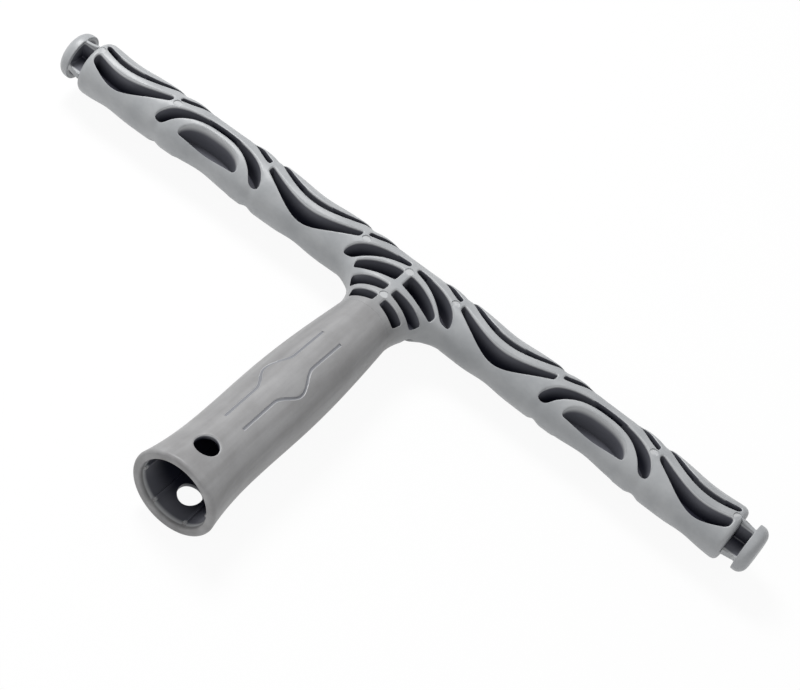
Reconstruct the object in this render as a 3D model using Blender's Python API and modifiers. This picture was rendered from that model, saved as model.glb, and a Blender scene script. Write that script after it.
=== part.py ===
"""T-bar of a window scrubber: a ribbed, slightly bowed cross bar on a pole socket, a catch at each end.

The bar lies along X, the handle points along -Y and the face with the sunk lines looks along +Z.
Sizes and outlines are written from the middle of the bar. An empty then carries the whole part to
the middle of its own box.
"""
import bpy
import bmesh
from math import atan2, cos, pi, radians, sin, sqrt
from mathutils import Matrix, Vector

MM = 0.001

# Clearances and overruns
SEAT_GAP = 0.3 * MM
OVERRUN = 3.0 * MM
WELD_DISTANCE = 0.002 * MM

# Overall sizes
OVERALL_LENGTH = 350.0 * MM
MOUTH_TO_BAR_AXIS = 149.9 * MM

# Cross bar, whose ends drop towards the handle
BAR_RADIUS = 11.9 * MM
BAR_END_ROUND = 2.2 * MM
BAR_BOW = 2.6 * MM
BAR_SIDES = 40
BOW_STEPS = 6
END_ROUND_STEPS = 3

# Web on the middle plane, thicker at the bar's ends, where it takes the catches
WEB_THICKNESS = 1.6 * MM
END_WEB_THICKNESS = 4.4 * MM
END_WALL = 2.1 * MM

# Cells between the ribs. Arches and troughs swap sides from wave to wave, and only the arches that
# stand on the near flank have a core under them
WAVES_PER_SIDE_COUNT = 3
LAST_WAVE_RUN = 16.4 * MM
FLANK_WALL = 2.0 * MM
ARCH_HALF_SPAN_SHARE = 0.535
ARCH_FOOT_WIDTH = 4.0 * MM
ARCH_CROWN = 2.9 * MM
ARCH_CROWN_WIDTH = 2.8 * MM
FAR_ARCH_CROWN = 1.6 * MM
FAR_ARCH_CROWN_WIDTH = 3.0 * MM
CORE_HALF_SPAN_SHARE = 0.296
CORE_RIB = 2.2 * MM
CORE_SIDE = 1.6 * MM
TROUGH_HALF_SPAN_SHARE = 0.4735
TROUGH_TOP_END = 1.4 * MM
TROUGH_TOP_MIDDLE = 4.9 * MM
TROUGH_BOTTOM_END = 1.9 * MM
TROUGH_TOP_POWER = 0.95
CORE_POWER = 2.2
CELL_CORNER = 1.2 * MM
END_CELL_CORNER = 2.0 * MM
CORNER_EDGE_SHARE = 0.45
CORNER_TURN = 38
CELL_STEPS = 11
CORNER_STEPS = 3

# Hub between the bar and the handle
HUB_HALF_DEPTH = 12.2 * MM
HUB_BAR_HALF_WIDTH = 27.0 * MM
HUB_FOOT_Y = -31.0 * MM
HUB_SHOULDER_Y = -12.0 * MM
HUB_TOP_Y = 3.0 * MM
HUB_TOP_HALF_WIDTH = 22.0 * MM
HUB_SIDES = 40
HUB_SECTIONS = 8

# Spine rib of the hub and the rows of cells beside it, from the bar down to the handle
SPINE_RIB = 3.4 * MM
ROW_TOPS = (-3.2 * MM, -14.0 * MM, -21.6 * MM)
ROW_TOP_DROPS = (6.8 * MM, 1.6 * MM, 0.9 * MM)
ROW_BOTTOMS = (-10.0 * MM, -18.4 * MM, -26.0 * MM)
ROW_BOTTOM_DROPS = (2.8 * MM, 1.4 * MM, 1.2 * MM)
ROW_TOP_REACHES = (19.2 * MM, 16.8 * MM, 11.8 * MM)
ROW_BOTTOM_REACHES = (18.6 * MM, 14.2 * MM, 10.2 * MM)
ROW_STEPS = 8

# Spigot that carries the handle
SPIGOT_LENGTH = 16.0 * MM
SPIGOT_ROOT = 3.0 * MM
SPIGOT_CHAMFER = 1.0 * MM

# Marks that the ejector pins leave on the rib crossings
PIN_MARK_RADIUS = 1.9 * MM
PIN_MARK_DEPTH = 0.3 * MM
PIN_MARK_OFFSET = 1.2 * MM
PIN_MARK_SIDES = 12

# Handle tube: it swells to a belly, dips to a neck and flares at the mouth
TUBE_FOOT_RADIUS = 12.9 * MM
TUBE_NECK_RADIUS = 15.9 * MM
TUBE_SWELL = 0.25 * MM
TUBE_FOOT_WALL = 2.3 * MM
BORE_MOUTH_INSET = 1.0 * MM
NECK_FROM_MOUTH = 36.4 * MM
MOUTH_FLARE = 2.8 * MM
FLARE_POWER = 2.5
MOUTH_LIP = 1.4 * MM
MOUTH_CHAMFER_WIDTH = 0.8 * MM
MOUTH_CHAMFER_DEPTH = 1.4 * MM
TUBE_SIDES = 44
BELLY_STEPS = 5
NECK_STEPS = 2
FLARE_STEPS = 6
SOCKET_RIB_WIDTH = 1.3 * MM
SOCKET_RIB_HEIGHT = 0.9 * MM
SOCKET_RIB_INSET = 1.8 * MM
SOCKET_RIB_COUNT = 6
RIB_START_SHARE = 0.5
LOCK_HOLE_RADIUS = 4.9 * MM
LOCK_HOLE_CHAMFER = 0.7 * MM
LOCK_HOLE_FROM_MOUTH = 14.9 * MM
HOLE_SIDES = 32

# Sunk lines on the handle, shallow and broad
LINE_RADIUS = 1.5 * MM
LINE_DEPTH = 0.35 * MM
LINE_START_FROM_MOUTH = 31.2 * MM
LINE_END_FROM_HUB = 25.8 * MM
LINE_HALF_SPACING = 4.5 * MM
LINE_BULGE = 4.8 * MM
LINE_BULGE_HALF_LENGTH = 12.5 * MM
LINE_STEPS = 25

# End catches
CATCH_NECK_LENGTH = 6.2 * MM
CATCH_RIM_THICKNESS = 1.6 * MM
CATCH_DOME_HEIGHT = 3.8 * MM
CATCH_FLANGE_RADIUS = 10.3 * MM
CATCH_FACE_RADIUS = 6.0 * MM
CATCH_WEB_THICKNESS = 2.6 * MM
CATCH_WEB_BAR_WIDTH = 20.4 * MM
CATCH_WEB_FLANGE_WIDTH = 17.6 * MM
CATCH_SPINE_THICKNESS = 1.4 * MM
CATCH_SPINE_BAR_HEIGHT = 23.2 * MM
CATCH_SPINE_FLANGE_HEIGHT = 19.8 * MM
CATCH_SPINE_STEPS = 4
CATCH_TONGUE_WIDTH = 12.0 * MM
CATCH_TONGUE_THICKNESS = 2.0 * MM
CATCH_TONGUE_LENGTH = 12.0 * MM
CATCH_SIDES = 40
CATCH_DOME_STEPS = 5

# Finishes, as linear colour, roughness and metallic value
GREY_PLASTIC = ((0.33, 0.35, 0.36, 1.0), 0.42, 0.0)
HANDLE_PLASTIC = ((0.30, 0.31, 0.31, 1.0), 0.45, 0.0)

# Places and sizes that follow from those above
CATCH_LENGTH = CATCH_NECK_LENGTH + CATCH_RIM_THICKNESS + CATCH_DOME_HEIGHT
BAR_LENGTH = OVERALL_LENGTH - 2 * CATCH_LENGTH
BAR_END_X = BAR_LENGTH / 2
CELL_END_X = BAR_END_X - END_WALL
CATCH_FLANGE_X = BAR_END_X + CATCH_NECK_LENGTH
FOOT_Y = BAR_RADIUS - FLANK_WALL
WAVE_PITCH = (BAR_END_X - LAST_WAVE_RUN) / WAVES_PER_SIDE_COUNT
ARCH_HALF_SPAN = WAVE_PITCH * ARCH_HALF_SPAN_SHARE
CORE_HALF_SPAN = WAVE_PITCH * CORE_HALF_SPAN_SHARE
TROUGH_HALF_SPAN = WAVE_PITCH * TROUGH_HALF_SPAN_SHARE
BORE_MOUTH_RADIUS = TUBE_NECK_RADIUS - BORE_MOUTH_INSET
BORE_FOOT_RADIUS = TUBE_FOOT_RADIUS - TUBE_FOOT_WALL
MOUTH_Y = -MOUTH_TO_BAR_AXIS
LIP_Y = MOUTH_Y + MOUTH_LIP
NECK_Y = MOUTH_Y + NECK_FROM_MOUTH
LINE_START_Y = MOUTH_Y + LINE_START_FROM_MOUTH
LINE_END_Y = HUB_FOOT_Y - LINE_END_FROM_HUB
BELLY_Y = (LINE_START_Y + LINE_END_Y) / 2


def clear_scene():
    for item in list(bpy.data.objects):
        bpy.data.objects.remove(item, do_unlink=True)


def new_collection(name):
    collection = bpy.data.collections.new(name)
    bpy.context.scene.collection.children.link(collection)
    return collection


def plastic(name, finish):
    colour, roughness, metallic = finish
    material = bpy.data.materials.new(name)
    material.use_nodes = True
    shader = material.node_tree.nodes["Principled BSDF"]
    shader.inputs["Base Color"].default_value = colour
    shader.inputs["Roughness"].default_value = roughness
    shader.inputs["Metallic"].default_value = metallic
    return material


def add_object(name, data, collection):
    item = bpy.data.objects.new(name, data)
    collection.objects.link(item)
    return item


def mesh_from(name, build):
    mesh = bpy.data.meshes.new(name)
    work = bmesh.new()
    build(work)
    work.to_mesh(mesh)
    work.free()
    return mesh


def box(name, collection, low, high):
    size = Vector(high) - Vector(low)
    middle = (Vector(high) + Vector(low)) / 2
    place = Matrix.Translation(middle) @ Matrix.Diagonal(size).to_4x4()
    mesh = mesh_from(name, lambda work: bmesh.ops.create_cube(work, size=1, matrix=place))
    return add_object(name, mesh, collection)


def turned(name, collection, profile, sides, closed=False):
    """A solid of revolution about Z, from a profile of (radius, height) that runs top to bottom."""
    mesh = bpy.data.meshes.new(name)
    points = [(radius, 0, height) for radius, height in profile]
    edges = [(i, i + 1) for i in range(len(points) - 1)]
    if closed:
        edges.append((len(points) - 1, 0))
    mesh.from_pydata(points, edges, [])
    item = add_object(name, mesh, collection)
    screw = item.modifiers.new("Turn", "SCREW")
    screw.axis = "Z"
    screw.steps = sides
    screw.render_steps = sides
    screw.use_merge_vertices = True
    screw.merge_threshold = WELD_DISTANCE
    return item


def solid_from(source, collection):
    """Swaps a curve, or an object with modifiers, for a closed mesh of the same name, at the origin."""
    bpy.context.view_layer.update()
    graph = bpy.context.evaluated_depsgraph_get()
    mesh = bpy.data.meshes.new_from_object(source.evaluated_get(graph))
    mesh.transform(source.matrix_world)
    work = bmesh.new()
    work.from_mesh(mesh)
    bmesh.ops.remove_doubles(work, verts=work.verts, dist=WELD_DISTANCE)
    bmesh.ops.recalc_face_normals(work, faces=work.faces)
    work.to_mesh(mesh)
    work.free()
    name = source.name
    bpy.data.objects.remove(source, do_unlink=True)
    return add_object(name, mesh, collection)


def prisms(name, collection, outlines, low, high):
    """Upright prisms on closed outlines in the XY plane, between two heights."""
    curve = bpy.data.curves.new(name, "CURVE")
    curve.dimensions = "2D"
    curve.fill_mode = "BOTH"
    curve.extrude = (high - low) / 2
    for outline in outlines:
        spline = curve.splines.new("POLY")
        spline.points.add(len(outline) - 1)
        for point, (x, y) in zip(spline.points, outline):
            point.co = (x, y, 0, 1)
        spline.use_cyclic_u = True
    item = add_object(name, curve, collection)
    item.location.z = (high + low) / 2
    return solid_from(item, collection)


def combine(item, other, operation):
    modifier = item.modifiers.new(other.name, "BOOLEAN")
    modifier.object = other
    modifier.operation = operation
    modifier.solver = "EXACT"


def cut_all(item, collection):
    modifier = item.modifiers.new(collection.name, "BOOLEAN")
    modifier.operand_type = "COLLECTION"
    modifier.collection = collection
    modifier.operation = "DIFFERENCE"
    modifier.solver = "EXACT"


def as_cutter(item):
    item.hide_render = True
    item.display_type = "WIRE"
    return item


def finish(item, material):
    item.data.materials.clear()
    item.data.materials.append(material)
    item.data.shade_smooth()


def soften(points, radius):
    """Rounds the sharp corners of a closed outline."""
    rounded = []
    for i, corner in enumerate(points):
        here = Vector(corner)
        before = Vector(points[i - 1]) - here
        after = Vector(points[(i + 1) % len(points)]) - here
        turn = pi - before.angle(after)
        if turn < radians(CORNER_TURN):
            rounded.append(corner)
            continue
        half = (pi - turn) / 2
        room = min(before.length, after.length) * CORNER_EDGE_SHARE
        reach = min(radius / sin(half) * cos(half), room)
        start = here + before.normalized() * reach
        end = here + after.normalized() * reach
        for step in range(CORNER_STEPS + 1):
            t = step / CORNER_STEPS
            bend = start.lerp(here, t).lerp(here.lerp(end, t), t)
            rounded.append((bend.x, bend.y))
    return rounded


def shares(count):
    return [2 * i / count - 1 for i in range(count + 1)]


def arch_outline(centre):
    """A bow-shaped cell whose feet stand near the near flank."""
    inner_half_span = ARCH_HALF_SPAN - ARCH_FOOT_WIDTH
    inner_crown = ARCH_CROWN - ARCH_CROWN_WIDTH
    outer = []
    inner = []
    for share in shares(CELL_STEPS):
        angle = share * pi / 2
        height = (FOOT_Y + ARCH_CROWN) * cos(angle) - FOOT_Y
        outer.append((centre + ARCH_HALF_SPAN * sin(angle), height))
    for share in shares(CELL_STEPS):
        height = (FOOT_Y + inner_crown) * (1 - share * share) - FOOT_Y
        inner.append((centre + inner_half_span * share, height))
    return outer + inner[::-1]


def far_arch_outline(centre):
    """A slim bow-shaped cell whose feet run out into the far flank."""
    outline = []
    for half_span, crown, turn in (
        (ARCH_HALF_SPAN, FAR_ARCH_CROWN, 1),
        (ARCH_HALF_SPAN - ARCH_FOOT_WIDTH, FAR_ARCH_CROWN - FAR_ARCH_CROWN_WIDTH, -1),
    ):
        for share in shares(CELL_STEPS)[::turn]:
            height = FOOT_Y - (FOOT_Y + crown) * (1 - share * share)
            outline.append((centre + half_span * share, height))
    return outline


def core_outline(centre):
    """The D-shaped cell under an arch."""
    crown = ARCH_CROWN - ARCH_CROWN_WIDTH - CORE_RIB
    shoulder = CORE_SIDE - FOOT_Y
    points = [(centre - CORE_HALF_SPAN, -FOOT_Y)]
    for share in shares(CELL_STEPS):
        height = shoulder + (crown - shoulder) * (1 - abs(share) ** CORE_POWER)
        points.append((centre + CORE_HALF_SPAN * share, height))
    points.append((centre + CORE_HALF_SPAN, -FOOT_Y))
    return points


def trough_outline(centre, side):
    """The boat-shaped cell between two arches."""
    upper = []
    lower = []
    for share in shares(CELL_STEPS):
        wave = cos(share * pi / 2)
        top = TROUGH_TOP_END - (TROUGH_TOP_END + TROUGH_TOP_MIDDLE) * wave ** TROUGH_TOP_POWER
        bottom = -TROUGH_BOTTOM_END - (FOOT_Y - TROUGH_BOTTOM_END) * wave
        upper.append((centre + TROUGH_HALF_SPAN * share, top * side))
        lower.append((centre + TROUGH_HALF_SPAN * share, bottom * side))
    return upper + lower[::-1]


def wave_outlines(wave):
    """The cells of one wave, counted from the middle of the bar."""
    centre = wave * WAVE_PITCH
    if wave % 2:
        return [far_arch_outline(centre), trough_outline(centre, 1)]
    return [arch_outline(centre), core_outline(centre), trough_outline(centre, -1)]


def clipped(outline, low, high):
    """The part of a closed outline between two places along the bar."""
    for limit, keep_above in ((low, True), (high, False)):
        kept = []
        for i, point in enumerate(outline):
            previous = outline[i - 1]
            inside = (point[0] >= limit) == keep_above
            was_inside = (previous[0] >= limit) == keep_above
            if inside != was_inside:
                share = (limit - previous[0]) / (point[0] - previous[0])
                kept.append((limit, previous[1] + (point[1] - previous[1]) * share))
            if inside:
                kept.append(point)
        outline = kept
    return outline


def mirrored(outline):
    return [(-x, y) for x, y in reversed(outline)]


def bow_at(x):
    """How far the bowed bar has dropped towards the handle, at a place along it."""
    return BAR_BOW * (x / BAR_END_X) ** 2


def bowed(outline):
    return [(x, y - bow_at(x)) for x, y in outline]


def hub_half_width(y):
    """Half the hub's width: two elliptic fillets that run from the handle out to the bar."""
    if y <= HUB_FOOT_Y:
        return TUBE_FOOT_RADIUS
    if y >= HUB_SHOULDER_Y:
        share = (y - HUB_SHOULDER_Y) / (HUB_TOP_Y - HUB_SHOULDER_Y)
        return HUB_BAR_HALF_WIDTH + (HUB_TOP_HALF_WIDTH - HUB_BAR_HALF_WIDTH) * share
    share = (y - HUB_FOOT_Y) / (HUB_SHOULDER_Y - HUB_FOOT_Y)
    return HUB_BAR_HALF_WIDTH - (HUB_BAR_HALF_WIDTH - TUBE_FOOT_RADIUS) * sqrt(1 - share * share)


def hub_row_outline(row):
    """One cell on the +X side of the hub's spine rib."""
    inner_x = SPINE_RIB / 2
    upper = []
    lower = []
    for step in range(ROW_STEPS + 1):
        share = step / ROW_STEPS
        top_x = inner_x + (ROW_TOP_REACHES[row] - inner_x) * share
        bottom_x = inner_x + (ROW_BOTTOM_REACHES[row] - inner_x) * share
        upper.append((top_x, ROW_TOPS[row] - ROW_TOP_DROPS[row] * share ** 2))
        lower.append((bottom_x, ROW_BOTTOMS[row] - ROW_BOTTOM_DROPS[row] * sin(share * pi / 2)))
    return upper + lower[::-1]


def bar_cells():
    """The outlines of every cell between the middle web and one face, apart from the end troughs."""
    half_rib = SPINE_RIB / 2
    centre_arch = clipped(arch_outline(0), half_rib, BAR_END_X)
    cells = [soften(centre_arch, CELL_CORNER), mirrored(soften(centre_arch, CELL_CORNER))]
    cells.append(soften(trough_outline(0, -1), CELL_CORNER))
    for row in range(len(ROW_TOPS)):
        outline = soften(hub_row_outline(row), CELL_CORNER)
        cells.extend((outline, mirrored(outline)))
    for wave in range(1, WAVES_PER_SIDE_COUNT):
        for outline in wave_outlines(wave):
            soft = soften(outline, CELL_CORNER)
            cells.extend((soft, mirrored(soft)))
    return cells


def end_cells():
    """The outlines of the cells of the last wave, which the bar's end walls cut short."""
    cells = []
    for outline in wave_outlines(WAVES_PER_SIDE_COUNT):
        soft = soften(clipped(outline, 0, CELL_END_X), END_CELL_CORNER)
        cells.extend((soft, mirrored(soft)))
    return cells


def bar_body(name, collection):
    """The bar's round body, with its ends rounded over and bowed towards the handle."""
    straight = BAR_END_X - BAR_END_ROUND
    core = BAR_RADIUS - BAR_END_ROUND
    top = [(0, BAR_END_X)]
    for step in range(END_ROUND_STEPS + 1):
        angle = step / END_ROUND_STEPS * pi / 2
        top.append((core + BAR_END_ROUND * sin(angle), straight + BAR_END_ROUND * cos(angle)))
    middle = [(BAR_RADIUS, -straight * share) for share in shares(BOW_STEPS)[1:-1]]
    bottom = [(radius, -height) for radius, height in reversed(top)]
    body = turned(name, collection, top + middle + bottom, BAR_SIDES)
    half_side = Matrix.Rotation(pi / BAR_SIDES, 4, "Z")
    body.matrix_world = Matrix.Rotation(pi / 2, 4, "Y") @ half_side
    body = solid_from(body, collection)
    for vertex in body.data.vertices:
        vertex.co.y -= bow_at(vertex.co.x)
    return body


def ring_at(work, y, half_width, half_depth):
    ring = []
    for step in range(HUB_SIDES):
        angle = 2 * pi * step / HUB_SIDES
        ring.append(work.verts.new((half_width * sin(angle), y, half_depth * cos(angle))))
    return ring


def build_hub(work):
    """A loft of ellipses from the handle's round foot to the wide shoulder under the bar."""
    sections = []
    for step in range(HUB_SECTIONS):
        share = sin(step / (HUB_SECTIONS - 1) * pi / 2)
        y = HUB_FOOT_Y + (HUB_SHOULDER_Y - HUB_FOOT_Y) * share
        depth = TUBE_FOOT_RADIUS + (HUB_HALF_DEPTH - TUBE_FOOT_RADIUS) * share
        sections.append((y, hub_half_width(y), depth))
    sections.append((0, hub_half_width(0), HUB_HALF_DEPTH))
    sections.append((HUB_TOP_Y, hub_half_width(HUB_TOP_Y), BAR_RADIUS - HUB_TOP_Y / 4))
    rings = [ring_at(work, *section) for section in sections]
    for lower, upper in zip(rings, rings[1:]):
        for i in range(HUB_SIDES):
            j = (i + 1) % HUB_SIDES
            work.faces.new((lower[i], lower[j], upper[j], upper[i]))
    work.faces.new(rings[0])
    work.faces.new(rings[-1][::-1])
    bmesh.ops.recalc_face_normals(work, faces=work.faces)


def bore_radius(y):
    share = (y - MOUTH_Y) / (HUB_FOOT_Y - MOUTH_Y)
    return BORE_MOUTH_RADIUS + (BORE_FOOT_RADIUS - BORE_MOUTH_RADIUS) * share


def tube_radius(y):
    """The handle's outer radius at a place between its foot and the lip of its mouth."""
    if y > BELLY_Y:
        belly = TUBE_NECK_RADIUS + TUBE_SWELL
        share = (HUB_FOOT_Y - y) / (HUB_FOOT_Y - BELLY_Y)
        return TUBE_FOOT_RADIUS + (belly - TUBE_FOOT_RADIUS) * sin(share * pi / 2)
    if y > NECK_Y:
        share = (BELLY_Y - y) / (BELLY_Y - NECK_Y)
        return TUBE_NECK_RADIUS + TUBE_SWELL * (1 + cos(share * pi)) / 2
    share = (NECK_Y - y) / (NECK_Y - LIP_Y)
    return TUBE_NECK_RADIUS + MOUTH_FLARE * share ** FLARE_POWER


def add_spigot(head, cutters):
    root_y = HUB_FOOT_Y + SPIGOT_ROOT
    end_y = HUB_FOOT_Y - SPIGOT_LENGTH
    chamfer_y = end_y + SPIGOT_CHAMFER
    root = bore_radius(HUB_FOOT_Y) - SEAT_GAP
    end = bore_radius(end_y) - SEAT_GAP
    profile = [(0, root_y), (root, root_y), (root, HUB_FOOT_Y), (end, chamfer_y)]
    profile += [(end - SPIGOT_CHAMFER, end_y), (0, end_y)]
    spigot = as_cutter(turned("spigot", cutters, profile, TUBE_SIDES))
    spigot.rotation_euler = (-pi / 2, 0, 0)
    combine(head, spigot, "UNION")


def add_pin_marks(hollows):
    """Shallow flat rounds on the front rib crossings."""
    places = [(0, -2 * PIN_MARK_OFFSET, HUB_HALF_DEPTH)]
    places.append((0, (ROW_TOPS[2] + ROW_BOTTOMS[1] - ROW_BOTTOM_DROPS[1]) / 2, HUB_HALF_DEPTH))
    for x in (WAVE_PITCH / 2 - PIN_MARK_RADIUS, 2.5 * WAVE_PITCH - PIN_MARK_RADIUS, CELL_END_X):
        for side in (-1, 1):
            places.append((x * side, -PIN_MARK_OFFSET, BAR_RADIUS))

    def build(work):
        for x, y, surface in places:
            middle = surface - PIN_MARK_DEPTH + OVERRUN / 2
            bmesh.ops.create_cone(
                work,
                cap_ends=True,
                segments=PIN_MARK_SIDES,
                radius1=PIN_MARK_RADIUS,
                radius2=PIN_MARK_RADIUS,
                depth=OVERRUN,
                matrix=Matrix.Translation((x, y - bow_at(x), middle)),
            )

    as_cutter(add_object("pin_marks", mesh_from("pin_marks", build), hollows))


def make_cross_bar(parts, cutters, material):
    """The ribbed bar with its hub and the spigot for the handle."""
    head = bar_body("cross_bar", parts)
    hub = as_cutter(add_object("hub", mesh_from("hub", build_hub), cutters))
    combine(head, hub, "UNION")
    add_spigot(head, cutters)
    outside = HUB_HALF_DEPTH + OVERRUN
    hollows = bpy.data.collections.new("bar_hollows")
    cutters.children.link(hollows)
    for name, outlines, web in (
        ("cells", bar_cells(), WEB_THICKNESS),
        ("end_cells", end_cells(), END_WEB_THICKNESS),
    ):
        outlines = [bowed(outline) for outline in outlines]
        cells = as_cutter(prisms(name, hollows, outlines, web / 2, outside))
        both_faces = cells.modifiers.new("Both faces", "MIRROR")
        both_faces.use_axis = (False, False, True)
        both_faces.use_mirror_merge = False
    half_width = CATCH_TONGUE_WIDTH / 2 + SEAT_GAP
    half_height = CATCH_TONGUE_THICKNESS / 2 + SEAT_GAP
    bottom_x = BAR_END_X - CATCH_TONGUE_LENGTH - SEAT_GAP
    middle_y = -bow_at(CATCH_FLANGE_X)
    for name, side in (("slot_left", -1), ("slot_right", 1)):
        near_x, far_x = sorted((side * bottom_x, side * (BAR_END_X + OVERRUN)))
        low = (near_x, middle_y - half_width, -half_height)
        high = (far_x, middle_y + half_width, half_height)
        as_cutter(box(name, hollows, low, high))
    add_pin_marks(hollows)
    cut_all(head, hollows)
    finish(head, material)


def tube_profile():
    foot_y = HUB_FOOT_Y - SEAT_GAP
    stations = [foot_y + (BELLY_Y - foot_y) * step / BELLY_STEPS for step in range(BELLY_STEPS)]
    stations += [BELLY_Y + (NECK_Y - BELLY_Y) * step / NECK_STEPS for step in range(NECK_STEPS)]
    for step in range(FLARE_STEPS):
        stations.append(NECK_Y + (LIP_Y - NECK_Y) * sin(step / FLARE_STEPS * pi / 2))
    profile = [(tube_radius(y), y) for y in stations]
    inner_lip = tube_radius(LIP_Y) - MOUTH_LIP
    for step in range(CORNER_STEPS + 1):
        angle = step / CORNER_STEPS * pi / 2
        profile.append((inner_lip + MOUTH_LIP * cos(angle), LIP_Y - MOUTH_LIP * sin(angle)))
    profile.append((BORE_MOUTH_RADIUS + MOUTH_CHAMFER_WIDTH, MOUTH_Y))
    chamfer_y = MOUTH_Y + MOUTH_CHAMFER_DEPTH
    profile.append((bore_radius(chamfer_y), chamfer_y))
    profile.append((bore_radius(foot_y), foot_y))
    return profile


def add_socket_ribs(tube, cutters):
    """Slim ribs along the bore that grip the pole."""
    start_y = MOUTH_Y + SOCKET_RIB_INSET
    end_y = HUB_FOOT_Y - SPIGOT_LENGTH - SEAT_GAP * 2
    middle_y = (start_y + end_y) / 2
    taper = atan2(BORE_MOUTH_RADIUS - BORE_FOOT_RADIUS, HUB_FOOT_Y - MOUTH_Y)
    half = Vector((SOCKET_RIB_WIDTH, end_y - start_y, SOCKET_RIB_HEIGHT)) / 2
    seat = Matrix.Translation((0, middle_y, bore_radius(middle_y)))
    for index in range(SOCKET_RIB_COUNT):
        angle = 2 * pi * (index + RIB_START_SHARE) / SOCKET_RIB_COUNT
        low = (-half.x, -half.y, -SOCKET_RIB_HEIGHT)
        rib = box("socket_rib_%d" % (index + 1), cutters, low, half)
        rib.matrix_world = Matrix.Rotation(angle, 4, "Y") @ seat @ Matrix.Rotation(-taper, 4, "X")
        combine(tube, as_cutter(rib), "UNION")


def cut_sunk_lines(tube, cutters):
    """Two shallow grooves along the front that swell apart round a plain oval field."""
    for name, side in (("line_left", -1), ("line_right", 1)):
        curve = bpy.data.curves.new(name, "CURVE")
        curve.dimensions = "3D"
        curve.bevel_depth = LINE_RADIUS
        curve.bevel_resolution = 2
        curve.use_fill_caps = True
        spline = curve.splines.new("POLY")
        spline.points.add(LINE_STEPS)
        for step, point in enumerate(spline.points):
            y = LINE_START_Y + (LINE_END_Y - LINE_START_Y) * step / LINE_STEPS
            reach = min(abs(y - BELLY_Y) / LINE_BULGE_HALF_LENGTH, 1)
            x = LINE_HALF_SPACING + LINE_BULGE * cos(reach * pi / 2) ** 2
            radius = tube_radius(y) + LINE_RADIUS - LINE_DEPTH
            point.co = (x * side, y, sqrt(radius * radius - x * x), 1)
        line = solid_from(add_object(name, curve, cutters), cutters)
        combine(tube, as_cutter(line), "DIFFERENCE")


def cut_lock_hole(tube, cutters):
    """The cross hole for the pole's lock, through both walls, with its outer edges broken."""
    y = MOUTH_Y + LOCK_HOLE_FROM_MOUTH
    surface = tube_radius(y)
    outer = LOCK_HOLE_RADIUS + LOCK_HOLE_CHAMFER + OVERRUN
    top = [(0, surface + OVERRUN), (outer, surface + OVERRUN)]
    top.append((LOCK_HOLE_RADIUS, surface - LOCK_HOLE_CHAMFER))
    bottom = [(radius, -height) for radius, height in reversed(top)]
    hole = as_cutter(turned("lock_hole", cutters, top + bottom, HOLE_SIDES))
    hole.location.y = y
    combine(tube, hole, "DIFFERENCE")


def make_handle(parts, cutters, material):
    tube = turned("handle_socket", parts, tube_profile(), TUBE_SIDES, closed=True)
    tube.rotation_euler = (-pi / 2, 0, 0)
    add_socket_ribs(tube, cutters)
    cut_sunk_lines(tube, cutters)
    cut_lock_hole(tube, cutters)
    finish(tube, material)


def flange_profile():
    """The catch's round flange with a domed outer side."""
    dome_x = CATCH_FLANGE_X + CATCH_RIM_THICKNESS
    profile = [(0, dome_x + CATCH_DOME_HEIGHT)]
    for step in range(CATCH_DOME_STEPS + 1):
        angle = step / CATCH_DOME_STEPS * pi / 2
        radius = CATCH_FACE_RADIUS + (CATCH_FLANGE_RADIUS - CATCH_FACE_RADIUS) * sin(angle)
        profile.append((radius, dome_x + CATCH_DOME_HEIGHT * cos(angle)))
    profile.append((CATCH_FLANGE_RADIUS, CATCH_FLANGE_X))
    profile.append((0, CATCH_FLANGE_X))
    return profile


def spine_outline(near_x, far_x):
    """The catch's upright spine, whose edges sweep down from the bar's end to the flange."""
    bar_half = CATCH_SPINE_BAR_HEIGHT / 2
    flange_half = CATCH_SPINE_FLANGE_HEIGHT / 2
    upper = []
    for step in range(CATCH_SPINE_STEPS + 1):
        share = step / CATCH_SPINE_STEPS
        height = flange_half + (bar_half - flange_half) * (1 - share) ** 2
        upper.append((near_x + (far_x - near_x) * share, height))
    return upper + [(x, -height) for x, height in reversed(upper)]


def make_catches(parts, cutters, material):
    """A catch for each end: a crossed neck with a round flange, held by a flat tongue in the bar."""
    neck_x = BAR_END_X + SEAT_GAP
    joined_x = CATCH_FLANGE_X + CATCH_RIM_THICKNESS / 2
    half_spine = CATCH_SPINE_THICKNESS / 2
    half_tongue = CATCH_TONGUE_WIDTH / 2
    half_thickness = CATCH_TONGUE_THICKNESS / 2
    tongue_x = BAR_END_X - CATCH_TONGUE_LENGTH
    half_bar = CATCH_WEB_BAR_WIDTH / 2
    half_flange = CATCH_WEB_FLANGE_WIDTH / 2
    half_web = CATCH_WEB_THICKNESS / 2
    for name, turn in (("end_catch_left", pi), ("end_catch_right", 0)):
        catch = turned(name, parts, flange_profile(), CATCH_SIDES)
        placed = Matrix.Translation((0, -bow_at(CATCH_FLANGE_X), 0)) @ Matrix.Rotation(turn, 4, "Z")
        catch.matrix_world = placed @ Matrix.Rotation(pi / 2, 4, "Y")
        outline = [(neck_x, -half_bar), (joined_x, -half_flange)]
        outline += [(joined_x, half_flange), (neck_x, half_bar)]
        web = prisms(name + "_web", cutters, [outline], -half_web, half_web)
        upright = [spine_outline(neck_x, joined_x)]
        spine = prisms(name + "_spine", cutters, upright, -half_spine, half_spine)
        spine.matrix_world = Matrix.Rotation(pi / 2, 4, "X")
        low = (tongue_x, -half_tongue, -half_thickness)
        tongue = box(name + "_tongue", cutters, low, (joined_x, half_tongue, half_thickness))
        for piece in (web, spine, tongue):
            piece.matrix_world = placed @ piece.matrix_world
            combine(catch, as_cutter(piece), "UNION")
        finish(catch, material)


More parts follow.
